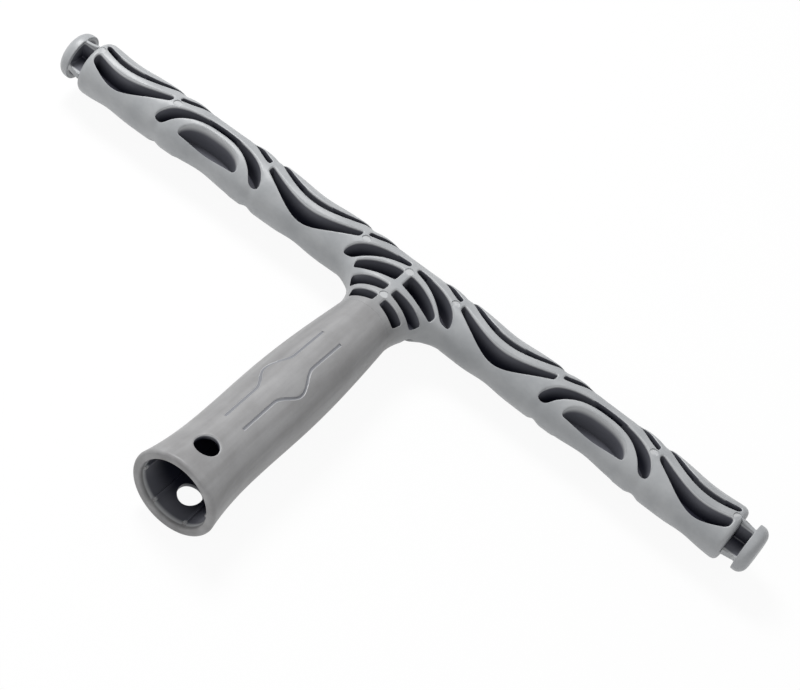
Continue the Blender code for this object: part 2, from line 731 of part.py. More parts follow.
def hang_on_middle(parts):
    """Hangs every object on an empty that brings the middle of the part's box to the origin."""
    middle = add_object("middle", None, parts)
    for item in bpy.data.objects:
        if item != middle:
            item.parent = middle
    bar_reach = BAR_RADIUS * cos(pi / BAR_SIDES)
    middle.location.y = (MOUTH_TO_BAR_AXIS - bar_reach) / 2


def main():
    clear_scene()
    parts = new_collection("window_scrubber_t_bar")
    cutters = new_collection("cutters")
    bar_grey = plastic("bar_grey", GREY_PLASTIC)
    handle_grey = plastic("handle_grey", HANDLE_PLASTIC)
    make_cross_bar(parts, cutters, bar_grey)
    make_handle(parts, cutters, handle_grey)
    make_catches(parts, cutters, bar_grey)
    hang_on_middle(parts)


main()
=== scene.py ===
"""T-bar of a window scrubber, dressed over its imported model: satin grey plastic on a white ground.

All shapes are made round the middle of the bar and then moved to the model's own origin.
"""
from math import atan2, cos, exp, hypot, pi, radians, sin, sqrt

import bmesh
import bpy
from mathutils import Matrix, Vector
from mathutils.bvhtree import BVHTree


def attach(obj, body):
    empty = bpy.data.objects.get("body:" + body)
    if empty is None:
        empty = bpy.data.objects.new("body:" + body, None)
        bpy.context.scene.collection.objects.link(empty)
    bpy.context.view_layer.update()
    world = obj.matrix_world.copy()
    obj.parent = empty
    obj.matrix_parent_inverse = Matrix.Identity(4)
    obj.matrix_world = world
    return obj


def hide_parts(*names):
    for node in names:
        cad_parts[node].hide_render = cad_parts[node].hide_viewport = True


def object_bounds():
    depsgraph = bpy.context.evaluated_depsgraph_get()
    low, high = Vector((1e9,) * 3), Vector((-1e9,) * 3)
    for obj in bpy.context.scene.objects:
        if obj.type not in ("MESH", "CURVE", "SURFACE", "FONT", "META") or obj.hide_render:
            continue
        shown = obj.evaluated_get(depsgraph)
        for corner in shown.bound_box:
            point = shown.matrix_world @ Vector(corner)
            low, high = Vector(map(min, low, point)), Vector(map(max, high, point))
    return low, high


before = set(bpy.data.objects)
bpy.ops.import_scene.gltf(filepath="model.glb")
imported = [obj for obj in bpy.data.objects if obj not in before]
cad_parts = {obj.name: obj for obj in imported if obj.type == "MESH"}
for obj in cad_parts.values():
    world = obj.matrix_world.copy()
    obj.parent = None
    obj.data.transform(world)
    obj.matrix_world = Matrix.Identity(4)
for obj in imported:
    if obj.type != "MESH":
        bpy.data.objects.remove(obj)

cad_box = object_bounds()

MM = 0.001

# Cross bar
BAR_LENGTH = 326.8 * MM
BAR_RADIUS = 11.9 * MM
BAR_END_ROUND = 2.2 * MM
BAR_BOW = 2.6 * MM
WEB = 1.6 * MM
END_WEB = 4.4 * MM
END_WALL = 2.1 * MM
BAR_END_X = BAR_LENGTH / 2

# Cells
PITCH = 49.0 * MM
FOOT_Y = BAR_RADIUS - 2.0 * MM
ARCH_HALF_SPAN = 27.0 * MM
ARCH_INNER_HALF_SPAN = 22.3 * MM
ARCH_FOOT = 4.0 * MM
ARCH_CROWN = 2.9 * MM
ARCH_FULLNESS = 1.14
MIDDLE_ARCH_LOW_CROWN = 0.3 * MM
MIDDLE_ARCH_POWER = 1.75
SIDE_ARCH_LOW_CROWN = -0.5 * MM
SIDE_ARCH_POWER = 2.5
FAR_ARCH_HALF_SPAN = 26.2 * MM
FAR_ARCH_CROWN = 1.6 * MM
FAR_ARCH_WIDTH = 3.0 * MM
CORE_HALF_SPAN = 15.1 * MM
CORE_CROWN = -3.05 * MM
CORE_POWER = 2.4
TROUGH_HALF_SPAN = 23.4 * MM
TROUGH_TIP_TOP = 1.4 * MM
TROUGH_TOP_DROP = 6.3 * MM
TROUGH_TOP_POWER = 0.95
TROUGH_TIP_BOTTOM = -1.9 * MM
TROUGH_BOTTOM_DROP = 8.0 * MM
CRESCENT_START = 9.2 * MM
CRESCENT_TIP_Y = 1.3 * MM
CRESCENT_RISE = 9.4 * MM
CRESCENT_POWER = 1.35
CRESCENT_WIDTH = 3.0 * MM
CRESCENT_END_Y = 9.6 * MM
CRESCENT_LEAST_WIDTH = 0.6 * MM
ARCH_ROUND = 1.2 * MM
TIP_ROUND = 0.7 * MM
ROW_ROUND = 0.8 * MM
END_ROUND = 1.9 * MM
RIM = 0.75 * MM
DRAFT = 0.25 * MM
CELL_END_X = BAR_END_X - END_WALL - 0.5 * MM
STEPS = 34

# Swells and dips of the flanks, with the widths of the bumps they are made of
NOTCH = 0.5 * MM
NOTCH_WIDTH = 2.0 * MM
FAR_DIP_WIDTH = 11.5 * MM
FAR_SWELL_PLACE = 17 * MM
FAR_SWELL_WIDTH = 5.5 * MM
FAR_MIDDLE_WIDTH = 50 * MM
NEAR_PLAIN_X = 34 * MM
NEAR_DIP_WIDTH = 9 * MM
NEAR_PINCH = 0.95 * MM
NEAR_PINCH_WIDTH = 11 * MM

# Round marks of the ejector pins on the rib crossings
PIN_RADIUS = 1.9 * MM
PIN_DEPTH = 0.4 * MM
PIN_CUTTER = 4 * MM

# Hub
HUB_DEPTH = 12.2 * MM
HUB_WIDTH = 27.0 * MM
HUB_FOOT_Y = -31.0 * MM
HUB_SHOULDER_Y = -12.0 * MM
HUB_TOP_Y = 3.0 * MM
HUB_TOP_WIDTH = 22.0 * MM
SPINE_RIB = 3.4 * MM

# Cells beside the hub's spine rib, each with its upper and then its lower edge: height at the
# rib, drop towards the outer end, and place of that end
ROWS = (
    (-3.2 * MM, 6.8 * MM, 19.9 * MM, -10.2 * MM, 2.6 * MM, 19.3 * MM),
    (-14.0 * MM, 1.4 * MM, 17.4 * MM, -18.4 * MM, 1.5 * MM, 14.8 * MM),
    (-21.9 * MM, 0.6 * MM, 12.2 * MM, -26.5 * MM, 1.1 * MM, 11.0 * MM),
)

# Handle
MOUTH_Y = -149.9 * MM
NECK_Y = -113.5 * MM
BELLY_Y = -87.75 * MM
FOOT_RADIUS = 12.9 * MM
NECK_RADIUS = 15.9 * MM
SWELL = 0.25 * MM
FLARE = 2.8 * MM
LIP_ROUND = 1.4 * MM
LIP_Y = MOUTH_Y + LIP_ROUND
BORE_MOUTH = 14.9 * MM
BORE_FOOT = 10.6 * MM
LOCK_Y = MOUTH_Y + 14.9 * MM
LOCK_RADIUS = 4.9 * MM
MOUTH_CHAMFER = 0.8 * MM
MOUTH_CHAMFER_DEPTH = 1.4 * MM
SOCKET_RIBS = 6
SOCKET_RIB_HALF_WIDTH = 0.65 * MM
SPIGOT_LENGTH = 16 * MM
SPIGOT_GAP = 0.3 * MM
LINE_RADIUS = 0.95 * MM
LINE_DEPTH = 0.35 * MM
LINE_START_Y = -118.7 * MM
LINE_LENGTH = 61.9 * MM
LINE_POINTS = 95
LINE_PLACE = 4.5 * MM
LINE_BULGE = 4.8 * MM
LINE_BULGE_REACH = 12.5 * MM

# End catches
FLANGE_X = BAR_END_X + 6.2 * MM
FLANGE_RADIUS = 10.3 * MM
FLANGE_RIM = 1.6 * MM
FLANGE_FACE = 6.0 * MM
OUTER_X = 175.0 * MM
CATCH_WEB_BAR = 10.2 * MM
CATCH_WEB_FLANGE = 8.8 * MM
CATCH_WEB_HALF_THICKNESS = 1.3 * MM
CATCH_SPINE_FLANGE = 9.9 * MM
CATCH_SPINE_HALF_THICKNESS = 0.7 * MM
CATCH_SPINE_GAP = 0.12 * MM
SLOT_DEPTH = 12.3 * MM
TONGUE_LENGTH = 12 * MM

# How far the model's own origin lies from the middle of the bar
SHIFT = cad_box[0][1] - MOUTH_Y

# Colours, from the bar's light tone down to the painted shade of the deepest hollow; the handle's
# tones carry painted shade and the pale rim tone is a painted highlight
BAR_LIGHT = (0.385, 0.395, 0.405, 1)
BAR_DARK = (0.28, 0.292, 0.305, 1)
# The handle's own streaky tone, set darker than the bar's as painted shade
HANDLE_PALE_WITH_PAINTED_SHADE = (0.325, 0.325, 0.33, 1)
HANDLE_DARK_WITH_PAINTED_SHADE = (0.20, 0.198, 0.20, 1)
# Painted highlight along the cells' rims
RIM_PAINTED_HIGHLIGHT = (0.46, 0.47, 0.48, 1)
# Painted shade: on the cell walls, and darkest deep in the hollows
CELL_WALL_PAINTED_SHADE = (0.10, 0.103, 0.122, 1)
CELL_FLOOR_PAINTED_SHADE = (0.010, 0.011, 0.021, 1)
WHITE = (1, 1, 1, 1)


def only(piece):
    """Makes one object the selected and the active one."""
    bpy.ops.object.select_all(action="DESELECT")
    piece.select_set(True)
    bpy.context.view_layer.objects.active = piece


def apply_modifier(piece, kind, **settings):
    only(piece)
    modifier = piece.modifiers.new(kind.title(), kind)
    for key, value in settings.items():
        setattr(modifier, key, value)
    bpy.ops.object.modifier_apply(modifier=modifier.name)


def face_outward(piece, merge=True):
    """Merges doubled points, if asked, and turns all faces outward."""
    only(piece)
    bpy.ops.object.mode_set(mode="EDIT")
    bpy.ops.mesh.select_all(action="SELECT")
    if merge:
        bpy.ops.mesh.remove_doubles(threshold=0.002 * MM)
    bpy.ops.mesh.normals_make_consistent(inside=False)
    bpy.ops.object.mode_set(mode="OBJECT")


def mesh_piece(name, work):
    """An object at the origin from a filled bmesh."""
    mesh = bpy.data.meshes.new(name)
    bmesh.ops.recalc_face_normals(work, faces=work.faces)
    work.to_mesh(mesh)
    work.free()
    piece = bpy.data.objects.new(name, mesh)
    bpy.context.scene.collection.objects.link(piece)
    return piece


def combine(piece, tool, operation):
    """Joins or cuts with a tool, which is used up."""
    apply_modifier(piece, "BOOLEAN", object=tool, operation=operation, solver="MANIFOLD")
    bpy.data.objects.remove(tool, do_unlink=True)
    return piece


def box(name, low, high):
    middle = (Vector(low) + Vector(high)) / 2
    bpy.ops.object.select_all(action="DESELECT")
    bpy.ops.mesh.primitive_cube_add(size=1, location=middle)
    piece = bpy.context.object
    piece.name = name
    piece.scale = Vector(high) - Vector(low)
    bpy.ops.object.transform_apply(location=True, rotation=True, scale=True)
    return piece


def lathe(name, outline, axis, steps):
    """Spins a closed outline of (radius, place along the axis) round the X or the Y axis."""
    mesh = bpy.data.meshes.new(name)
    if axis == "X":
        points = [(place, 0, radius) for radius, place in outline]
        direction = (1, 0, 0)
    else:
        points = [(0, place, radius) for radius, place in outline]
        direction = (0, 1, 0)
    edges = [(i, i + 1) for i in range(len(points) - 1)]
    if outline[0][0] > 0:
        edges.append((len(points) - 1, 0))
    mesh.from_pydata(points, edges, [])
    piece = bpy.data.objects.new(name, mesh)
    bpy.context.scene.collection.objects.link(piece)
    only(piece)
    bpy.ops.object.mode_set(mode="EDIT")
    bpy.ops.mesh.select_all(action="SELECT")
    bpy.ops.mesh.spin(steps=steps, angle=2 * pi, center=(0, 0, 0), axis=direction)
    bpy.ops.object.mode_set(mode="OBJECT")
    face_outward(piece)
    return piece


def shares(count):
    """Even steps from -1 to 1."""
    return [2 * i / count - 1 for i in range(count + 1)]


def arch(centre, low_crown, power):
    """A bow over the near flank, with the height and the fullness of its inner edge."""
    outer = []
    inner = []
    for share in shares(STEPS):
        angle = share * pi / 2
        outer_y = (FOOT_Y + ARCH_CROWN) * cos(angle) ** ARCH_FULLNESS - FOOT_Y
        inner_y = (FOOT_Y + low_crown) * (1 - abs(share) ** power) - FOOT_Y
        outer.append((centre + ARCH_HALF_SPAN * sin(angle), outer_y))
        inner.append((centre + ARCH_INNER_HALF_SPAN * share, inner_y))
    return outer + inner[::-1]


def far_arch(centre):
    """The slimmer bow that opens to the far flank."""
    outline = []
    for half_span, crown, turn in (
        (FAR_ARCH_HALF_SPAN, FAR_ARCH_CROWN, 1),
        (FAR_ARCH_HALF_SPAN - ARCH_FOOT, FAR_ARCH_CROWN - FAR_ARCH_WIDTH, -1),
    ):
        for share in shares(STEPS)[::turn]:
            y = FOOT_Y - (FOOT_Y + crown) * (1 - share * share)
            outline.append((centre + half_span * share, y))
    return outline


def core(centre):
    """The D-shaped cell under an arch."""
    points = []
    for share in shares(2 * STEPS):
        angle = share * pi / 2
        reach = abs(sin(angle)) ** (2 / CORE_POWER)
        y = (FOOT_Y + CORE_CROWN) * abs(cos(angle)) - FOOT_Y
        points.append((centre + CORE_HALF_SPAN * reach * (1 if share > 0 else -1), y))
    return points


def trough(centre):
    """The boat-shaped cell beside the near flank."""
    upper = []
    lower = []
    for share in shares(STEPS):
        wave = cos(share * pi / 2)
        x = centre + TROUGH_HALF_SPAN * share
        upper.append((x, TROUGH_TIP_TOP - TROUGH_TOP_DROP * wave ** TROUGH_TOP_POWER))
        lower.append((x, TROUGH_TIP_BOTTOM - TROUGH_BOTTOM_DROP * wave))
    return upper + lower[::-1]


def crescent(centre, side):
    """One half of the far trough, which runs over into the far flank."""
    near = []
    far = []
    for i in range(STEPS):
        reach = TROUGH_HALF_SPAN - (TROUGH_HALF_SPAN - CRESCENT_START) * i / (STEPS - 1)
        wave = cos(reach / TROUGH_HALF_SPAN * pi / 2)
        y = CRESCENT_TIP_Y + CRESCENT_RISE * wave ** CRESCENT_POWER
        near.append((centre + reach * side, min(y, CRESCENT_END_Y - CRESCENT_LEAST_WIDTH)))
        far.append((centre + reach * side, min(y + CRESCENT_WIDTH, CRESCENT_END_Y)))
    return near + far[::-1]


def hub_row(row):
    """One cell on the +X side of the hub's spine rib."""
    top, top_drop, top_reach, bottom, bottom_drop, bottom_reach = ROWS[row]
    inner = SPINE_RIB / 2
    upper = []
    lower = []
    for i in range(13):
        share = i / 12
        upper.append((inner + (top_reach - inner) * share, top - top_drop * share ** 2))
        y = bottom - bottom_drop * sin(share * pi / 2)
        lower.append((inner + (bottom_reach - inner) * share, y))
    return upper + lower[::-1]


def clipped(outline, low, high):
    """The part of a closed outline that lies between two places along the bar."""
    for limit, above in ((low, True), (high, False)):
        kept = []
        for i, point in enumerate(outline):
            last = outline[i - 1]
            if ((point[0] >= limit) == above) != ((last[0] >= limit) == above):
                share = (limit - last[0]) / (point[0] - last[0])
                kept.append((limit, last[1] + (point[1] - last[1]) * share))
            if (point[0] >= limit) == above:
                kept.append(point)
        outline = kept
    return outline


def mirrored(outline):
    return [(-x, y) for x, y in reversed(outline)]


def soften(points, radius):
    """Rounds the corners of a closed outline by averaging along it."""
    smooth = resampled(points, 0.35 * MM)
    count = len(smooth)
    half = max(1, round(radius / (0.7 * MM)))
    for _ in range(3):
        blurred = []
        for i in range(count):
            near = [smooth[(i + k) % count] for k in range(-half, half + 1)]
            x = sum(point[0] for point in near) / len(near)
            y = sum(point[1] for point in near) / len(near)
            blurred.append((x, y))
        smooth = blurred
    return resampled(smooth, 0.75 * MM)


def resampled(points, spacing):
    """The same closed outline with evenly spaced points."""
    lengths = [0]
    for i in range(len(points)):
        a = points[i]
        b = points[(i + 1) % len(points)]
        lengths.append(lengths[-1] + hypot(b[0] - a[0], b[1] - a[1]))
    count = max(8, round(lengths[-1] / spacing))
    fresh = []
    i = 0
    for step in range(count):
        place = lengths[-1] * step / count
        while lengths[i + 1] < place:
            i += 1
        a = points[i]
        b = points[(i + 1) % len(points)]
        share = (place - lengths[i]) / max(lengths[i + 1] - lengths[i], 1e-12)
        fresh.append((a[0] + (b[0] - a[0]) * share, a[1] + (b[1] - a[1]) * share))
    return fresh


def bow_at(x):
    """How far the bowed bar has dropped towards the handle, at a place along it."""
    return BAR_BOW * (x / BAR_END_X) ** 2


def bar_radius(x):
    inside = abs(x) - (BAR_END_X - BAR_END_ROUND)
    if inside <= 0:
        return BAR_RADIUS
    inside = min(inside, BAR_END_ROUND)
    return BAR_RADIUS - BAR_END_ROUND + sqrt(BAR_END_ROUND ** 2 - inside ** 2)


def hub_half_width(y):
    if y <= HUB_FOOT_Y:
        return tube_radius(y)
    if y >= HUB_SHOULDER_Y:
        share = (y - HUB_SHOULDER_Y) / (HUB_TOP_Y - HUB_SHOULDER_Y)
        return HUB_WIDTH + (HUB_TOP_WIDTH - HUB_WIDTH) * share
    share = (y - HUB_FOOT_Y) / (HUB_SHOULDER_Y - HUB_FOOT_Y)
    return HUB_WIDTH - (HUB_WIDTH - FOOT_RADIUS) * sqrt(1 - share * share)


def hub_half_depth(y):
    if y <= HUB_FOOT_Y:
        return tube_radius(y)
    if y <= HUB_SHOULDER_Y:
        share = (y - HUB_FOOT_Y) / (HUB_SHOULDER_Y - HUB_FOOT_Y)
        return FOOT_RADIUS + (HUB_DEPTH - FOOT_RADIUS) * share
    if y <= 0:
        return HUB_DEPTH
    return HUB_DEPTH + (BAR_RADIUS - HUB_TOP_Y / 4 - HUB_DEPTH) * y / HUB_TOP_Y


def tube_radius(y):
    """The handle swells from its foot to a belly, dips to a neck and flares at the mouth."""
    if y > BELLY_Y:
        share = (HUB_FOOT_Y - y) / (HUB_FOOT_Y - BELLY_Y)
        return FOOT_RADIUS + (NECK_RADIUS + SWELL - FOOT_RADIUS) * sin(share * pi / 2)
    if y > NECK_Y:
        share = (BELLY_Y - y) / (BELLY_Y - NECK_Y)
        return NECK_RADIUS + SWELL * (1 + cos(share * pi)) / 2
    share = (NECK_Y - y) / (NECK_Y - LIP_Y)
    return NECK_RADIUS + FLARE * share ** 2.5


def bore_radius(y):
    return BORE_MOUTH + (BORE_FOOT - BORE_MOUTH) * (y - MOUTH_Y) / (HUB_FOOT_Y - MOUTH_Y)


def skin_of(piece):
    """The piece's surface, ready to be probed."""
    points = [vertex.co.copy() for vertex in piece.data.vertices]
    return BVHTree.FromPolygons(points, [tuple(face.vertices) for face in piece.data.polygons])


def height_on(skin):
    """A function that gives how high a skin stands over the middle plane."""

    def height(x, y):
        hit = skin.ray_cast(Vector((x, y, 30 * MM)), Vector((0, 0, -1)))[0]
        return hit.z if hit else 0

    return height


def bump(distance, width):
    """A smooth bump: 1 at no distance, and next to nothing beyond twice the width."""
    return exp(-((distance / width) ** 2))


def flank_offset(x, far):
    """How far the far or the near flank swells out or dips in, at a place along the bar."""
    wave = abs(x) / PITCH
    odd = abs(abs(x) - PITCH * (2 * int(wave / 2) + 1))
    even = PITCH - odd
    notch = NOTCH * bump(even - PITCH / 2, NOTCH_WIDTH)
    if far:
        dip = (0.4 - 1.15 * bump(odd, FAR_DIP_WIDTH)) * MM
        swell = 0.1 + 0.6 * bump(even - FAR_SWELL_PLACE, FAR_SWELL_WIDTH)
        swell = (swell - 0.35 * bump(x, FAR_MIDDLE_WIDTH)) * MM
        share = min(max((even - 22 * MM) / (5 * MM), 0), 1)
        return swell + (dip - swell) * share - notch
    if abs(x) < NEAR_PLAIN_X:
        return 0
    dip = (0.1 - 0.4 * bump(odd, NEAR_DIP_WIDTH)) * MM
    pinch = -NEAR_PINCH * bump(even, NEAR_PINCH_WIDTH)
    return dip + pinch - notch


def shape_flanks(bar):
    """Swells and pinches the bar's two flanks along the waves."""
    for vertex in bar.data.vertices:
        x, y, z = vertex.co
        across = hypot(y, z)
        if abs(across - bar_radius(x)) > 0.6 * MM or abs(x) > BAR_END_X - BAR_END_ROUND:
            continue
        weight = min(max((abs(y) / across - 0.25) / 0.35, 0), 1)
        weight *= weight * (3 - 2 * weight)
        offset = flank_offset(x, y > 0) * weight
        limit = cad_box[1][1] - SHIFT - 0.02 * MM + bow_at(x)
        vertex.co.y = min(y + offset * y / across, limit)
        vertex.co.z += offset * z / across


def tube_height(x, y):
    return sqrt(max(tube_radius(y) ** 2 - x * x, 0))


def flared_cutter(work, outline, floor, height, rim, top, draft=DRAFT):
    """Adds a cutter: drafted walls that turn outward at the surface, so the cut has a round rim."""
    area = sum(
        outline[i - 1][0] * outline[i][1] - outline[i][0] * outline[i - 1][1]
        for i in range(len(outline))
    )
    if area < 0:
        outline = outline[::-1]
    count = len(outline)
    levels = ((-draft, None), (0, -rim), (0.134, -0.5 * rim), (0.5, -0.134 * rim), (1, 0.05 * rim))
    rings = [[] for _ in range(len(levels) + 1)]
    for i, (x, y) in enumerate(outline):
        before = outline[i - 1]
        after = outline[(i + 1) % count]
        along = Vector((after[0] - before[0], after[1] - before[1])).normalized()
        out = Vector((along.y, -along.x))
        here = height(x, y)
        probe = 0.2 * MM
        slope = (height(x + out.x * probe, y + out.y * probe) - here) / probe
        reach = rim / sqrt(1 + slope * slope)
        for ring, (share, drop) in zip(rings, levels):
            if drop is None:
                ring.append(work.verts.new((x + out.x * share, y + out.y * share, floor)))
                continue
            px = x + out.x * share * reach
            py = y + out.y * share * reach
            z = max(height(px, py) + drop, floor + 0.3 * MM)
            ring.append(work.verts.new((px, py, z)))
        rings[-1].append(work.verts.new((px, py, top)))
    for lower, upper in zip(rings, rings[1:]):
        for i in range(count):
            j = (i + 1) % count
            work.faces.new((lower[i], lower[j], upper[j], upper[i]))
    work.faces.new(rings[0][::-1])
    work.faces.new(rings[-1])


def mirrored_tool(work, name):
    """Finishes a tool that cuts the front, with its copy for the rear."""
    tool = mesh_piece(name, work)
    apply_modifier(tool, "MIRROR", use_axis=(False, False, True), use_mirror_merge=False)
    face_outward(tool, merge=False)
    return tool


def cell_tool(height):
    """All cells of both faces as one cutter."""
    middle_arch = arch(0, MIDDLE_ARCH_LOW_CROWN, MIDDLE_ARCH_POWER)
    side_arch = arch(2 * PITCH, SIDE_ARCH_LOW_CROWN, SIDE_ARCH_POWER)
    inner = [soften(clipped(middle_arch, SPINE_RIB / 2, BAR_END_X), ARCH_ROUND)]
    for row in range(len(ROWS)):
        inner.append(soften(hub_row(row), ROW_ROUND))
    inner.append(soften(far_arch(PITCH), TIP_ROUND))
    inner.append(soften(trough(PITCH), TIP_ROUND))
    inner.append(soften(side_arch, ARCH_ROUND))
    inner.append(soften(core(2 * PITCH), ARCH_ROUND))
    for centre, side in ((0, 1), (2 * PITCH, -1), (2 * PITCH, 1)):
        inner.append(soften(crescent(centre, side), TIP_ROUND))
    inner += [mirrored(outline) for outline in inner]
    ends = []
    for outline in (far_arch(3 * PITCH), trough(3 * PITCH)):
        ends.append(soften(clipped(outline, 0, CELL_END_X), END_ROUND))
    ends += [mirrored(outline) for outline in ends]
    work = bmesh.new()
    for outlines, web in ((inner, WEB), (ends, END_WEB)):
        for outline in outlines:
            flared_cutter(work, outline, web / 2, height, RIM, 16 * MM)
    return mirrored_tool(work, "cell_tool")


def pin_tool(height):
    """Shallow rounds that the ejector pins leave on the front."""
    places = [(0, -2.4 * MM), (0, -20.7 * MM)]
    for x in (22.7 * MM, 120.7 * MM, 161.0 * MM):
        places.extend(((x, -1.2 * MM), (-x, -1.2 * MM)))
    work = bmesh.new()
    for x, y in places:
        middle = height(x, y) - PIN_DEPTH + PIN_CUTTER / 2
        place = Matrix.Translation((x, y, middle))
        bmesh.ops.create_cone(
            work,
            cap_ends=True,
            segments=48,
            radius1=PIN_RADIUS,
            radius2=PIN_RADIUS,
            depth=PIN_CUTTER,
            matrix=place,
        )
    return mesh_piece("pin_tool", work)


def hub_solid():
    """A loft of ellipses from inside the handle's foot to the bar's middle."""
    places = [HUB_FOOT_Y - 4 * MM, HUB_FOOT_Y - 2 * MM]
    for i in range(25):
        places.append(HUB_FOOT_Y + (HUB_SHOULDER_Y - HUB_FOOT_Y) * sin(i / 24 * pi / 2))
    places += [-8 * MM, -4 * MM, 0, HUB_TOP_Y]
    work = bmesh.new()
    rings = []
    for y in places:
        width = hub_half_width(y)
        depth = hub_half_depth(y)
        ring = []
        for i in range(96):
            angle = 2 * pi * i / 96
            ring.append(work.verts.new((width * sin(angle), y, depth * cos(angle))))
        rings.append(ring)
    for lower, upper in zip(rings, rings[1:]):
        for i in range(96):
            j = (i + 1) % 96
            work.faces.new((lower[i], lower[j], upper[j], upper[i]))
    work.faces.new(rings[0])
    work.faces.new(rings[-1][::-1])
    return mesh_piece("hub_solid", work)


def round_shoulders(bar):
    """Smooths the hub's shoulders where they run out into the bar."""
    group = bar.vertex_groups.new(name="shoulders")
    for vertex in bar.data.vertices:
        x, y, z = vertex.co
        reach = hypot((abs(x) - 21 * MM) / (13 * MM), (y + 14 * MM) / (12 * MM))
        weight = min(max((1 - reach) * 2.5, 0), 1)
        if weight > 0:
            group.add([vertex.index], weight, "REPLACE")
    apply_modifier(bar, "SMOOTH", factor=0.5, iterations=120, vertex_group="shoulders")


def make_cross_bar():
    outline = [(0, BAR_END_X)]
    for i in range(7):
        angle = i / 6 * pi / 2
        radius = BAR_RADIUS - BAR_END_ROUND + BAR_END_ROUND * sin(angle)
        outline.append((radius, BAR_END_X - BAR_END_ROUND + BAR_END_ROUND * cos(angle)))
    outline += [(radius, -place) for radius, place in reversed(outline)]
    bar = lathe("cross_bar_moulding", outline, "X", 96)
    combine(bar, hub_solid(), "UNION")
    apply_modifier(bar, "REMESH", mode="VOXEL", voxel_size=0.7 * MM, adaptivity=0)
    apply_modifier(bar, "SMOOTH", factor=0.5, iterations=4)
    shape_flanks(bar)
    round_shoulders(bar)
    skin = skin_of(bar)
    height = height_on(skin)
    low = (-30 * MM, HUB_FOOT_Y - 20 * MM, -20 * MM)
    combine(bar, box("foot_cut", low, (30 * MM, HUB_FOOT_Y, 20 * MM)), "DIFFERENCE")
    end_y = HUB_FOOT_Y - SPIGOT_LENGTH
    root = bore_radius(HUB_FOOT_Y) - SPIGOT_GAP
    end = bore_radius(end_y) - SPIGOT_GAP
    outline = [(0, HUB_FOOT_Y + 3 * MM), (root, HUB_FOOT_Y + 3 * MM), (root, HUB_FOOT_Y)]
    outline += [(end, end_y + MM), (end - MM, end_y), (0, end_y)]
    combine(bar, lathe("spigot", outline, "Y", 64), "UNION")
    combine(bar, cell_tool(height), "DIFFERENCE")
    combine(bar, pin_tool(height), "DIFFERENCE")
    for side in (-1, 1):
        low_x, high_x = sorted((side * (BAR_END_X - SLOT_DEPTH), side * (BAR_END_X + 3 * MM)))
        low = (low_x, -6.9 * MM, -1.3 * MM)
        combine(bar, box("slot", low, (high_x, 6.2 * MM, 1.3 * MM)), "DIFFERENCE")
    return bar, skin


def make_handle():
    outline = [(FOOT_RADIUS, HUB_FOOT_Y - 0.03 * MM)]
    for i in range(1, 96):
        y = HUB_FOOT_Y + (LIP_Y - HUB_FOOT_Y) * i / 96
        outline.append((tube_radius(y), y))
    lip = NECK_RADIUS + FLARE - LIP_ROUND
    for i in range(9):
        angle = i / 8 * pi / 2
        outline.append((lip + LIP_ROUND * cos(angle), LIP_Y - LIP_ROUND * sin(angle)))
    for i in range(7):
        angle = i / 6 * pi / 2
        radius = BORE_MOUTH + MOUTH_CHAMFER * (1 - sin(angle))
        outline.append((radius, MOUTH_Y + MOUTH_CHAMFER_DEPTH * (1 - cos(angle))))
    for i in range(1, 31):
        y = MOUTH_Y + MOUTH_CHAMFER_DEPTH + (HUB_FOOT_Y - MOUTH_Y - 1.43 * MM) * i / 30
        outline.append((bore_radius(y), y))
    tube = lathe("handle_tube", outline, "Y", 128)
    for i in range(SOCKET_RIBS):
        start = MOUTH_Y + 1.8 * MM
        end = HUB_FOOT_Y - 16.6 * MM
        taper = atan2(BORE_MOUTH - BORE_FOOT, HUB_FOOT_Y - MOUTH_Y)
        middle = (start + end) / 2
        half = (end - start) / 2
        low = (-SOCKET_RIB_HALF_WIDTH, -half, -0.9 * MM)
        rib = box("rib", low, (SOCKET_RIB_HALF_WIDTH, half, 0.45 * MM))
        place = Matrix.Rotation(pi / SOCKET_RIBS * (1 + 2 * i), 4, "Y")
        place = place @ Matrix.Translation((0, middle, bore_radius(middle)))
        rib.data.transform(place @ Matrix.Rotation(-taper, 4, "X"))
        combine(tube, rib, "UNION")
    for side in (-1, 1):
        combine(tube, line_tool(side), "DIFFERENCE")
    circle = [
        (LOCK_RADIUS * sin(2 * pi * i / 64), LOCK_Y + LOCK_RADIUS * cos(2 * pi * i / 64))
        for i in range(64)
    ]
    work = bmesh.new()
    flared_cutter(work, circle, 6 * MM, tube_height, 0.7 * MM, 20 * MM, draft=0)
    combine(tube, mirrored_tool(work, "lock_tool"), "DIFFERENCE")
    return tube


def line_tool(side):
    """A bar that follows one sunk line on the handle's front."""
    curve = bpy.data.curves.new("line", "CURVE")
    curve.dimensions = "3D"
    curve.bevel_depth = LINE_RADIUS
    curve.bevel_resolution = 10
    curve.use_fill_caps = True
    spline = curve.splines.new("POLY")
    spline.points.add(LINE_POINTS)
    for i, point in enumerate(spline.points):
        y = LINE_START_Y + LINE_LENGTH * i / LINE_POINTS
        reach = min(abs(y - BELLY_Y) / LINE_BULGE_REACH, 1)
        x = LINE_PLACE + LINE_BULGE * cos(reach * pi / 2) ** 2
        radius = tube_radius(y) + LINE_RADIUS - LINE_DEPTH
        point.co = (x * side, y, sqrt(radius * radius - x * x), 1)
    item = bpy.data.objects.new("line", curve)
    bpy.context.scene.collection.objects.link(item)
    only(item)
    bpy.ops.object.convert(target="MESH")
    item = bpy.context.object
    face_outward(item)
    return item


def plate(name, half, side, half_thickness):
    """A flat plate on an outline that is the same on both sides of the X axis."""
    outline = half + [(x, -y) for x, y in reversed(half)]
    work = bmesh.new()
    rings = []
    for z in (-half_thickness, half_thickness):
        rings.append([work.verts.new((x * side, y, z)) for x, y in outline])
    work.faces.new(rings[0])
    work.faces.new(rings[1][::-1])
    for i in range(len(outline)):
        j = (i + 1) % len(outline)
        work.faces.new((rings[0][i], rings[0][j], rings[1][j], rings[1][i]))
    return mesh_piece(name, work)


